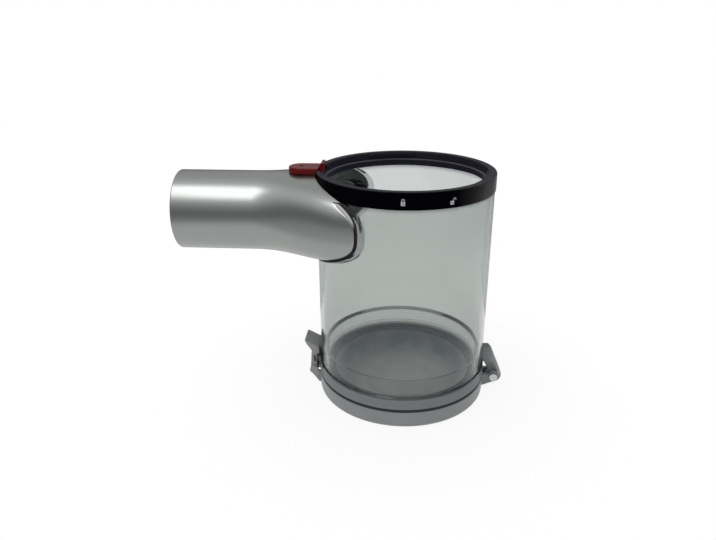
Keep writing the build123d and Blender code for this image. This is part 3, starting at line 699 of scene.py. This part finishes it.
def duct_outside(flow, size):
    across, tall, along = position_of(flow)
    share = along + 0.5
    crowded = share - CROWDING * share.math("SINE", FULL_TURN * share) / FULL_TURN
    x = size["Pipe End"] + (DUCT_REACH - size["Pipe End"]) * crowded
    flared = (x - size["Flare Start"]) / size["Flare Length"]
    fullness = ROUND + (size["Neck Fullness"] - ROUND) * eased(flared * size["Fullness Lead"])
    half_w = size["Pipe Radius"] + (size["Flare Half Width"] - size["Pipe Radius"]) * eased(flared)
    y = half_w * oval_side(across, fullness)
    rise = size["Pipe Radius"] * oval_side(tall, fullness)
    from_bin = highest((x * x + y * y) ** 0.5 - size["Trim Radius"], 0.0)
    under_collar = between(rise, *UNDER_COLLAR_RISE)
    drawn_in = rolled(x - size["Pipe End"], size["Rim Round"])
    drawn_in = drawn_in + under_collar * rolled(from_bin, size["Edge Round"])
    shrink = 1.0 - drawn_in / size["Pipe Radius"]
    z = size["Axis Height"] + rise * shrink
    return laid_out(flow, unit_tube(flow, LONG_STEPS), x, y * shrink, z)


def duct_airway(flow, size):
    across, tall, along = position_of(flow)
    start = size["Pipe End"] - AIRWAY_OVERRUN
    x = start + (DUCT_REACH - start) * (along + 0.5)
    in_socket = under(x, size["Socket End"])
    lead_in = highest(size["Rim Round"] - (x - size["Pipe End"]), 0.0)
    socket = size["Socket Radius"] + lead_in
    wide = eased((x - size["Flare Start"]) / size["Flare Length"])
    drop = eased((x - size["Socket End"]) / size["Drop Length"])
    fullness = ROUND + (size["Neck Fullness"] - ROUND) * wide
    throat = size["Throat Radius"]
    half_w = throat + (size["Mouth Half Width"] - throat) * wide
    top = throat + (size["Mouth Top"] - size["Axis Height"] - throat) * drop
    bottom = throat + (size["Axis Height"] - size["Mouth Bottom"] - throat) * drop
    half_w = half_w + (socket - half_w) * in_socket
    top = top + (socket - top) * in_socket
    bottom = bottom + (socket - bottom) * in_socket
    y = half_w * oval_side(across, fullness)
    z = (top - bottom) / 2.0 + (top + bottom) / 2.0 * oval_side(tall, fullness)
    return laid_out(flow, unit_tube(flow, AIRWAY_STEPS), x, y, size["Axis Height"] + z)


print("duct outside has", ROUND_STEPS, "x", LONG_STEPS, "faces before it is cut")

# %% [markdown]
# Two drums cut the duct to the bin: a wide one below the collar, and a narrower one that clears it.
# Two boxes cut the slot in the roof in which the slider's head and neck run.

# %% Cutters, and the duct itself
DRUM_STEPS = 256
TRIM_LOW, COLLAR_Z = mm(80, 140.1)
CLEAR_R, CLEAR_LOW, CLEAR_TOP = mm(55.4, 130, 152)
SLOT_HEAD = (mm(-76.9, -4.7, 142.0), mm(0, 4.7, 145.1))
SLOT_NECK = (mm(-71.1, -2.7, 144.9), mm(0, 2.7, 150))
SHARP = math.radians(35)


def drum_cutter(flow, radius, z_low, z_high):
    sizes = {"Vertices": DRUM_STEPS, "Radius": radius, "Depth": z_high - z_low}
    drum = flow.node("GeometryNodeMeshCylinder", None, sizes)
    lift = (0.0, 0.0, (z_low + z_high) / 2)
    return flow.node("GeometryNodeTransform", None, {"Geometry": drum, "Translation": lift})


def box_cutter(flow, low, high):
    size = tuple(b - a for a, b in zip(low, high))
    centre = tuple((a + b) / 2 for a, b in zip(low, high))
    cube = flow.node("GeometryNodeMeshCube", None, {"Size": size})
    return flow.node("GeometryNodeTransform", None, {"Geometry": cube, "Translation": centre})


def cut(flow, mesh, cutter):
    settings = {"operation": "DIFFERENCE", "solver": "EXACT"}
    return flow.node("GeometryNodeMeshBoolean", settings, {"Mesh 1": mesh, "Mesh 2": cutter})


def duct_tree():
    flow, size = start_tree("inlet_duct_rule", DUCT)
    mesh = cut(flow, duct_outside(flow, size), duct_airway(flow, size))
    mesh = cut(flow, mesh, drum_cutter(flow, size["Trim Radius"], TRIM_LOW, COLLAR_Z))
    mesh = cut(flow, mesh, drum_cutter(flow, CLEAR_R, CLEAR_LOW, CLEAR_TOP))
    mesh = cut(flow, mesh, box_cutter(flow, *SLOT_HEAD))
    mesh = cut(flow, mesh, box_cutter(flow, *SLOT_NECK))
    end_tree(flow, mesh, finishes["silver_satin"])
    return flow.tree


duct = grow("flared_duct", duct_tree(), DUCT)
duct.data.set_sharp_from_angle(angle=SHARP)
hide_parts("inlet_duct")
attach(duct, "bin")

# %% [markdown]
# ## Three springs
# A spring is a wire on a path: a straight leg, some turns of a helix, and another straight leg. One
# tree lays out a row of points by that rule and sweeps a round wire along them. The torsion springs
# wind up between the two pieces they push.

# %% The rule of a spring
WIRE_POINTS = 240
WIRE_SIDES = 16
SPRING_INPUTS = {
    "Radius": 0.0,
    "Wire": 0.0,
    "Turns": 0.0,
    "Pitch": 0.0,
    "First Leg": 0.0,
    "Last Leg": 0.0,
    "Turn": (0.0, 0.0, 0.0),
    "Place": (0.0, 0.0, 0.0),
}


def wire_path(flow, size):
    """The wire's middle line: the legs leave the helix along its tangents."""
    line = flow.node("GeometryNodeMeshLine", None, {"Count": WIRE_POINTS})
    share = flow.node("GeometryNodeInputIndex") / (WIRE_POINTS - 1.0)
    rise = size["Pitch"] / FULL_TURN
    per_radian = (size["Radius"] * size["Radius"] + rise * rise) ** 0.5
    coil_length = size["Turns"] * FULL_TURN * per_radian
    travel = share * (size["First Leg"] + coil_length + size["Last Leg"]) - size["First Leg"]
    on_coil = lowest(highest(travel, 0.0), coil_length)
    angle = on_coil / per_radian
    straight = (travel - on_coil) / per_radian
    cosine = angle.math("COSINE", angle)
    sine = angle.math("SINE", angle)
    x = size["Radius"] * (cosine - straight * sine)
    y = size["Radius"] * (sine + straight * cosine)
    wire_line = laid_out(flow, line, x, y, rise * (angle + straight))
    return flow.node("GeometryNodeMeshToCurve", None, {"Mesh": wire_line})


def spring_tree():
    flow, size = start_tree("coil_spring_rule", SPRING_INPUTS)
    circle = {"Resolution": WIRE_SIDES, "Radius": size["Wire"]}
    ring = flow.node("GeometryNodeCurvePrimitiveCircle", None, circle)
    sweep = {"Curve": wire_path(flow, size), "Profile Curve": ring, "Fill Caps": True}
    wire = flow.node("GeometryNodeCurveToMesh", None, sweep)
    where = {"Geometry": wire, "Translation": size["Place"], "Rotation": size["Turn"]}
    end_tree(flow, flow.node("GeometryNodeTransform", None, where), finishes["spring_steel"])
    return flow.tree


def facing(start, axis):
    """The turn that takes X to start and Z to axis, as Euler angles."""
    first, last = Vector(start).normalized(), Vector(axis).normalized()
    return tuple(Matrix((first, last.cross(first), last)).transposed().to_euler())


spring_rule = spring_tree()
print("a spring asks for:", ", ".join(SPRING_INPUTS))

# %% [markdown]
# The two torsion springs sit on the axes of their joints, so the frame gives their places. The hinge
# spring's legs lean by 20 degrees, and both of them end 7 mm from the pin, towards the bin.
# Each turn of a coil climbs 2.6 times the wire's radius.

# %% Hinge and latch springs
joints = {joint["name"]: joint for joint in frame["joints"]}
hinge_x, _, hinge_z = joints["lid_hinge"]["pos_m"]
latch_x, _, latch_z = joints["latch_swing"]["pos_m"]
COIL_PITCH = 2.6
TILT = math.radians(20)
HINGE_COIL_R, HINGE_WIRE_R, HINGE_TURNS, HINGE_Y = 3.0 * MM, 0.35 * MM, 3.5, 7.05 * MM
HINGE_REACH = 7.0 * MM
LATCH_COIL_R, LATCH_WIRE_R, LATCH_TURNS = 1.95 * MM, 0.25 * MM, 3.25
LATCH_FIRST_LEG, LATCH_LAST_LEG = mm(6.0, 3.6)
latch_run = COIL_PITCH * LATCH_WIRE_R * LATCH_TURNS
lean = HINGE_COIL_R * math.sin(TILT)

hinge_spring = grow("hinge_torsion_spring", spring_rule, {
    "Radius": HINGE_COIL_R,
    "Wire": HINGE_WIRE_R,
    "Turns": HINGE_TURNS,
    "Pitch": COIL_PITCH * HINGE_WIRE_R,
    "First Leg": (HINGE_REACH + lean) / math.cos(TILT),
    "Last Leg": (HINGE_REACH - lean) / math.cos(TILT),
    "Turn": facing((math.sin(TILT), 0, math.cos(TILT)), (0, 1, 0)),
    "Place": (hinge_x, HINGE_Y, hinge_z),
})
latch_spring = grow("latch_torsion_spring", spring_rule, {
    "Radius": LATCH_COIL_R,
    "Wire": LATCH_WIRE_R,
    "Turns": LATCH_TURNS,
    "Pitch": COIL_PITCH * LATCH_WIRE_R,
    "First Leg": LATCH_FIRST_LEG,
    "Last Leg": LATCH_LAST_LEG,
    "Turn": facing((-1, 0, 0), (0, -1, 0)),
    "Place": (latch_x, latch_run / 2, latch_z),
})

# %% [markdown]
# The slider's spring lies along the rail in the duct's roof.

# %% Slider spring, and the three springs in place of the solids' own
RAIL_START, RAIL_MIDDLE, SLIDER_SPRING_LENGTH = mm(-76.5, 143.55, 9.2)
SLIDER_COIL_R, SLIDER_WIRE_R, SLIDER_TURNS = 1.0 * MM, 0.2 * MM, 6.0
slider_spring = grow("slider_return_spring", spring_rule, {
    "Radius": SLIDER_COIL_R,
    "Wire": SLIDER_WIRE_R,
    "Turns": SLIDER_TURNS,
    "Pitch": SLIDER_SPRING_LENGTH / SLIDER_TURNS,
    "First Leg": 0.0,
    "Last Leg": 0.0,
    "Turn": facing((0, 0, 1), (1, 0, 0)),
    "Place": (RAIL_START, 0.0, RAIL_MIDDLE),
})
replaced = {"hinge_spring": hinge_spring, "latch_spring": latch_spring, "slider_spring": slider_spring}
for node, spring in replaced.items():
    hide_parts(node)

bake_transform(hinge_spring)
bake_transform(latch_spring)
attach(slider_spring, "bin")
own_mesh(slider_spring)

# %% [markdown]
# ## Two signs on the collar
# A closed and an open padlock are printed on the collar in pale ink, to show which way the cyclone
# unit turns. Each sign is a few ribbons: a body with a keyhole, and a shackle. A ribbon is a strip
# between two lines of points, wrapped round the collar and given the thickness of a coat of ink.

# %% Ribbons wrapped round the collar
COLLAR_R = 55.0 * MM
INK = 0.03 * MM
INK_ROOT = 0.05 * MM
INK_TONE, INK_WORN, INK_FRESH = (0.4, 0.405, 0.42), (0.34, 0.345, 0.36), (0.5, 0.505, 0.52)


def ink_finish():
    material, shader, flow, place = finish_of("pale_ink", INK_TONE, roughness=0.5, Specular_IOR_Level=0.2)
    worn = noise(flow, place, per_metre=2500.0, detail=2.0)
    flow.feed(shader.inputs["Base Color"], tinted(flow, worn, INK_WORN, INK_FRESH))
    return material


def wrapped(point, azimuth, middle_z, radius):
    turn_by = azimuth + point[0] / COLLAR_R
    return (radius * math.cos(turn_by), radius * math.sin(turn_by), middle_z + point[1])


def ribbon_faces(base, count, closed):
    """The four long sides of a ribbon, and its two ends if it doesn't close on itself."""
    low_in, high_in, low_out, high_out = [base + k * count for k in range(4)]
    faces = []
    for i in range(count if closed else count - 1):
        j = (i + 1) % count
        for a, b in ((high_in, high_out), (low_out, low_in), (low_in, high_in), (high_out, low_out)):
            faces.append((a + i, b + i, b + j, a + j))
    if not closed:
        end = count - 1
        faces.append((low_in, low_out, high_out, high_in))
        faces.append((low_in + end, high_in + end, high_out + end, low_out + end))
    return faces


def sign(name, strips, azimuth, middle_z, finish):
    spots, faces = [], []
    for inner, outer, closed in strips:
        faces += ribbon_faces(len(spots), len(inner), closed)
        for line in (inner, outer):
            for radius in (COLLAR_R - INK_ROOT, COLLAR_R + INK):
                spots += [wrapped(p, azimuth, middle_z, radius) for p in line]
    mesh = bpy.data.meshes.new(name)
    mesh.from_pydata(spots, [], faces)
    mesh.materials.append(finish)
    piece = bpy.data.objects.new(name, mesh)
    bpy.context.scene.collection.objects.link(piece)
    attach(piece, "bin")
    return piece


print("ink stands", round(INK / MM, 2), "mm proud of the collar")

# %% [markdown]
# The keyhole is a rounded square whose corners are almost as round as it is wide. The open padlock's
# shackle is shifted to one side, so that one leg hangs free beside the body, and that leg is shorter.

# %% Closed and open padlock
BODY_W, BODY_H, BODY_CORNER, BODY_DROP = mm(2.3, 2.2, 0.25, 0.85)
SHACKLE_R, SHACKLE_T, SHACKLE_LEG = mm(0.72, 0.43, 0.68)
KEYHOLE_R, KEYHOLE_ROUND = 0.3 * MM, 0.99
RING_STEPS, ARC_STEPS = 48, 16
OPEN_LEG_SHARE = 0.35
OPEN_SHIFT, OPEN_DROP = mm(1.45, 0.6)
CLOSED_AT, OPEN_AT, SIGN_Z = math.radians(-90.95), math.radians(-62.2), 144.6 * MM
TINY = 1e-9


def ring_points(width, height, corner, centre):
    """Points round a rounded rectangle, by equal turns."""
    points = []
    for i in range(RING_STEPS):
        a = FULL_TURN * i / RING_STEPS
        c, s = math.cos(a), math.sin(a)
        far = min(width / 2 / max(abs(c), TINY), height / 2 / max(abs(s), TINY))
        x, y = far * c, far * s
        over_x, over_y = abs(x) - (width / 2 - corner), abs(y) - (height / 2 - corner)
        if over_x > 0 and over_y > 0:
            k = corner / math.hypot(over_x, over_y)
            x = math.copysign(width / 2 - corner + over_x * k, x)
            y = math.copysign(height / 2 - corner + over_y * k, y)
        points.append((centre[0] + x, centre[1] + y))
    return points


def padlock_body():
    centre = (0.0, -BODY_DROP)
    outer = ring_points(BODY_W, BODY_H, BODY_CORNER, centre)
    hole = ring_points(2 * KEYHOLE_R, 2 * KEYHOLE_R, KEYHOLE_R * KEYHOLE_ROUND, centre)
    return hole, outer, True


def shackle(shift, free_gap):
    foot = -BODY_DROP + BODY_H / 2
    inner, outer = [], []
    for radius, line in ((SHACKLE_R - SHACKLE_T / 2, inner), (SHACKLE_R + SHACKLE_T / 2, outer)):
        line.append((shift + radius, foot + free_gap))
        for i in range(ARC_STEPS + 1):
            a = math.pi * i / ARC_STEPS
            line.append((shift + radius * math.cos(a), foot + SHACKLE_LEG + radius * math.sin(a)))
        line.append((shift - radius, foot))
    return inner, outer, False


ink = ink_finish()
closed_strips = [padlock_body(), shackle(0.0, 0.0)]
open_strips = [padlock_body(), shackle(OPEN_SHIFT, OPEN_LEG_SHARE * SHACKLE_LEG)]
sign("closed_padlock_sign", closed_strips, CLOSED_AT, SIGN_Z, ink)
sign("open_padlock_sign", open_strips, OPEN_AT, SIGN_Z - OPEN_DROP, ink)
print("signs wrapped at", COLLAR_R / MM, "mm")

# %% [markdown]
# ## A small studio
# A pale floor and a white surround, one broad soft lamp over the duct, and a few dark cards.
# What the eye sees directly, in a reflection or through the plastic finds a full white in the surround,
# while the light that the surround casts on the bin is a little less.

# %% Surround
AMBIENT = 0.7
DIRECT_RAYS = ("Is Camera Ray", "Is Glossy Ray", "Is Transmission Ray")
WHITE = (1.0, 1.0, 1.0, 1.0)


def seen_directly(flow):
    path = flow.node("ShaderNodeLightPath").socket.node
    kinds = [Flow(flow.tree, path.outputs[name]) for name in DIRECT_RAYS]
    return lowest(kinds[0] + kinds[1] + kinds[2], 1.0)


world = bpy.data.worlds.new("studio")
bpy.context.scene.world = world
world.use_nodes = True
world_flow = Flow(world.node_tree)
background = world.node_tree.nodes["Background"]
background.inputs["Color"].default_value = WHITE
world_flow.feed(background.inputs["Strength"], AMBIENT + (1.0 - AMBIENT) * seen_directly(world_flow))
print("surround lights at", AMBIENT, "and is seen at 1")

# %% [markdown]
# The eye looks through the floor to the white surround, so the lid still shows when it swings open
# below. Near the bin the floor keeps a little of the soft shadow.

# %% Floor
FLOOR_HALF = 4.0
FLOOR_Z = -0.2 * MM
FLOOR_TONE = (0.82, 0.82, 0.82, 1.0)
SHADOW_SHARE = 0.1
SHADOW_NEAR, SHADOW_FAR = mm(50, 170)


def stage_mesh(name, corners, faces, material):
    mesh = bpy.data.meshes.new(name)
    mesh.from_pydata(corners, [], faces)
    mesh.materials.append(material)
    card = bpy.data.objects.new(name, mesh)
    bpy.context.scene.collection.objects.link(card)
    return card


def shader_pair(name, first, second, factor):
    """A material that mixes two shaders, each a kind with its inputs, by a factor made from the place."""
    material = bpy.data.materials.new(name)
    material.use_nodes = True
    tree = material.node_tree
    tree.nodes.remove(tree.nodes["Principled BSDF"])
    flow = Flow(tree)
    place = flow.node("ShaderNodeTexCoord", out="Object")
    ends = [flow.node(kind, None, inputs) for kind, inputs in (first, second)]
    mixed = flow.node("ShaderNodeMixShader", None, {0: factor(flow, place), 1: ends[0], 2: ends[1]})
    flow.feed(tree.nodes["Material Output"].inputs["Surface"], mixed)
    return material


def floor_factor(flow, place):
    radius = axes_of(flow, place)[3]
    keep = SHADOW_SHARE * (1.0 - eased((radius - SHADOW_NEAR) / (SHADOW_FAR - SHADOW_NEAR)))
    return (1.0 - keep) * seen_directly(flow)


matt = ("ShaderNodeBsdfDiffuse", {"Color": FLOOR_TONE})
clear = ("ShaderNodeBsdfTransparent", {"Color": WHITE})
floor = stage_mesh(
    "floor",
    [(-FLOOR_HALF, -FLOOR_HALF, FLOOR_Z), (FLOOR_HALF, -FLOOR_HALF, FLOOR_Z),
     (FLOOR_HALF, FLOOR_HALF, FLOOR_Z), (-FLOOR_HALF, FLOOR_HALF, FLOOR_Z)],
    [(0, 1, 2, 3)],
    shader_pair("pale_floor", matt, clear, floor_factor),
)
floor.visible_shadow = False
print("floor keeps", SHADOW_SHARE, "of its shadow out to", round(SHADOW_FAR / MM), "mm")

# %% [markdown]
# Polished things show what stands around them. A low round wall of dark card gives the silver pipe its
# dark stripe, a shade over the back dims its top, and two flags edge the clear wall. Each card fades
# out towards an edge, and only reflections see it.

# %% Dark cards
CARD_TONE = (0.03, 0.03, 0.03, 1.0)
WALL_R, WALL_TOP, WALL_STEPS = 0.32, 0.36, 64
WALL_SHARE, WALL_FADE_FROM, WALL_FADE_IN, WALL_FADE_OUT = 0.74, 0.05, 0.17, 0.22
FLAG_Y, FLAG_NEAR, FLAG_FAR, FLAG_TOP = 0.1, 0.06, 0.3, 0.17
FLAG_SHARE, FLAG_FADE = 0.5, 0.15
SHADE_Y, SHADE_FAR, SHADE_HALF, SHADE_Z = 0.25, 2.2, 1.4, 1.0
SHADE_SHARE, SHADE_FADE = 0.27, 0.25
black = ("ShaderNodeEmission", {"Color": CARD_TONE, "Strength": 1.0})


def wall_factor(flow, place):
    height = axes_of(flow, place)[2]
    risen = eased((height + WALL_FADE_FROM) / WALL_FADE_IN)
    return WALL_SHARE * risen * eased((WALL_TOP - height) / WALL_FADE_OUT)


def flag_factor(flow, place):
    away = abs(axes_of(flow, place)[0])
    return FLAG_SHARE * eased((FLAG_FAR - away) / FLAG_FADE)


def shade_factor(flow, place):
    return SHADE_SHARE * eased((axes_of(flow, place)[1] - SHADE_Y) / SHADE_FADE)


def round_wall(name, radius, top, material):
    turns = [FULL_TURN * i / WALL_STEPS for i in range(WALL_STEPS)]
    ring = [(radius * math.cos(a), radius * math.sin(a)) for a in turns]
    spots = [(x, y, 0.0) for x, y in ring] + [(x, y, top) for x, y in ring]
    pairs = [(i, (i + 1) % WALL_STEPS) for i in range(WALL_STEPS)]
    faces = [(i, j, j + WALL_STEPS, i + WALL_STEPS) for i, j in pairs]
    return stage_mesh(name, spots, faces, material)


def edge_flag(side):
    near, far = side * FLAG_NEAR, side * FLAG_FAR
    corners = [(near, FLAG_Y, 0.0), (far, FLAG_Y, 0.0), (far, FLAG_Y, FLAG_TOP), (near, FLAG_Y, FLAG_TOP)]
    material = shader_pair("edge_flag", clear, black, flag_factor)
    return stage_mesh("edge_flag", corners, [(0, 1, 2, 3)], material)


dark_wall = round_wall("dark_wall", WALL_R, WALL_TOP, shader_pair("dark_wall", clear, black, wall_factor))
flags = [edge_flag(side) for side in (-1, 1)]
shade = stage_mesh(
    "back_shade",
    [(-SHADE_HALF, SHADE_Y, SHADE_Z), (-SHADE_HALF, SHADE_FAR, SHADE_Z),
     (SHADE_HALF, SHADE_FAR, SHADE_Z), (SHADE_HALF, SHADE_Y, SHADE_Z)],
    [(0, 1, 2, 3)],
    shader_pair("back_shade", clear, black, shade_factor),
)
cards = [dark_wall, shade] + flags
for card in cards:
    card.visible_camera = False
    card.visible_diffuse = False
    card.visible_transmission = False
    card.visible_shadow = False
print("cards that only reflections see:", len(cards))

# %% [markdown]
# The one lamp is a long soft box above the duct, a little in front of it and turned a little about the
# upright.

# %% Soft lamp
LAMP_W, LAMP_L, LAMP_WATT = 0.38, 0.8, 3.6
LAMP_AT = (-0.40, -0.5, 1.05)
LAMP_TURN = math.radians(9)

lamp_data = bpy.data.lights.new("soft_box", "AREA")
lamp_data.shape = "RECTANGLE"
lamp_data.size = LAMP_W
lamp_data.size_y = LAMP_L
lamp_data.energy = LAMP_WATT
lamp = bpy.data.objects.new("soft_box", lamp_data)
lamp.location = LAMP_AT
lamp.rotation_euler = (0.0, 0.0, LAMP_TURN)
lamp.visible_camera = False
bpy.context.scene.collection.objects.link(lamp)
print("lamp", LAMP_WATT, "W, surround", AMBIENT)

# %% [markdown]
# ## The end

# %% Finish
print("finished")
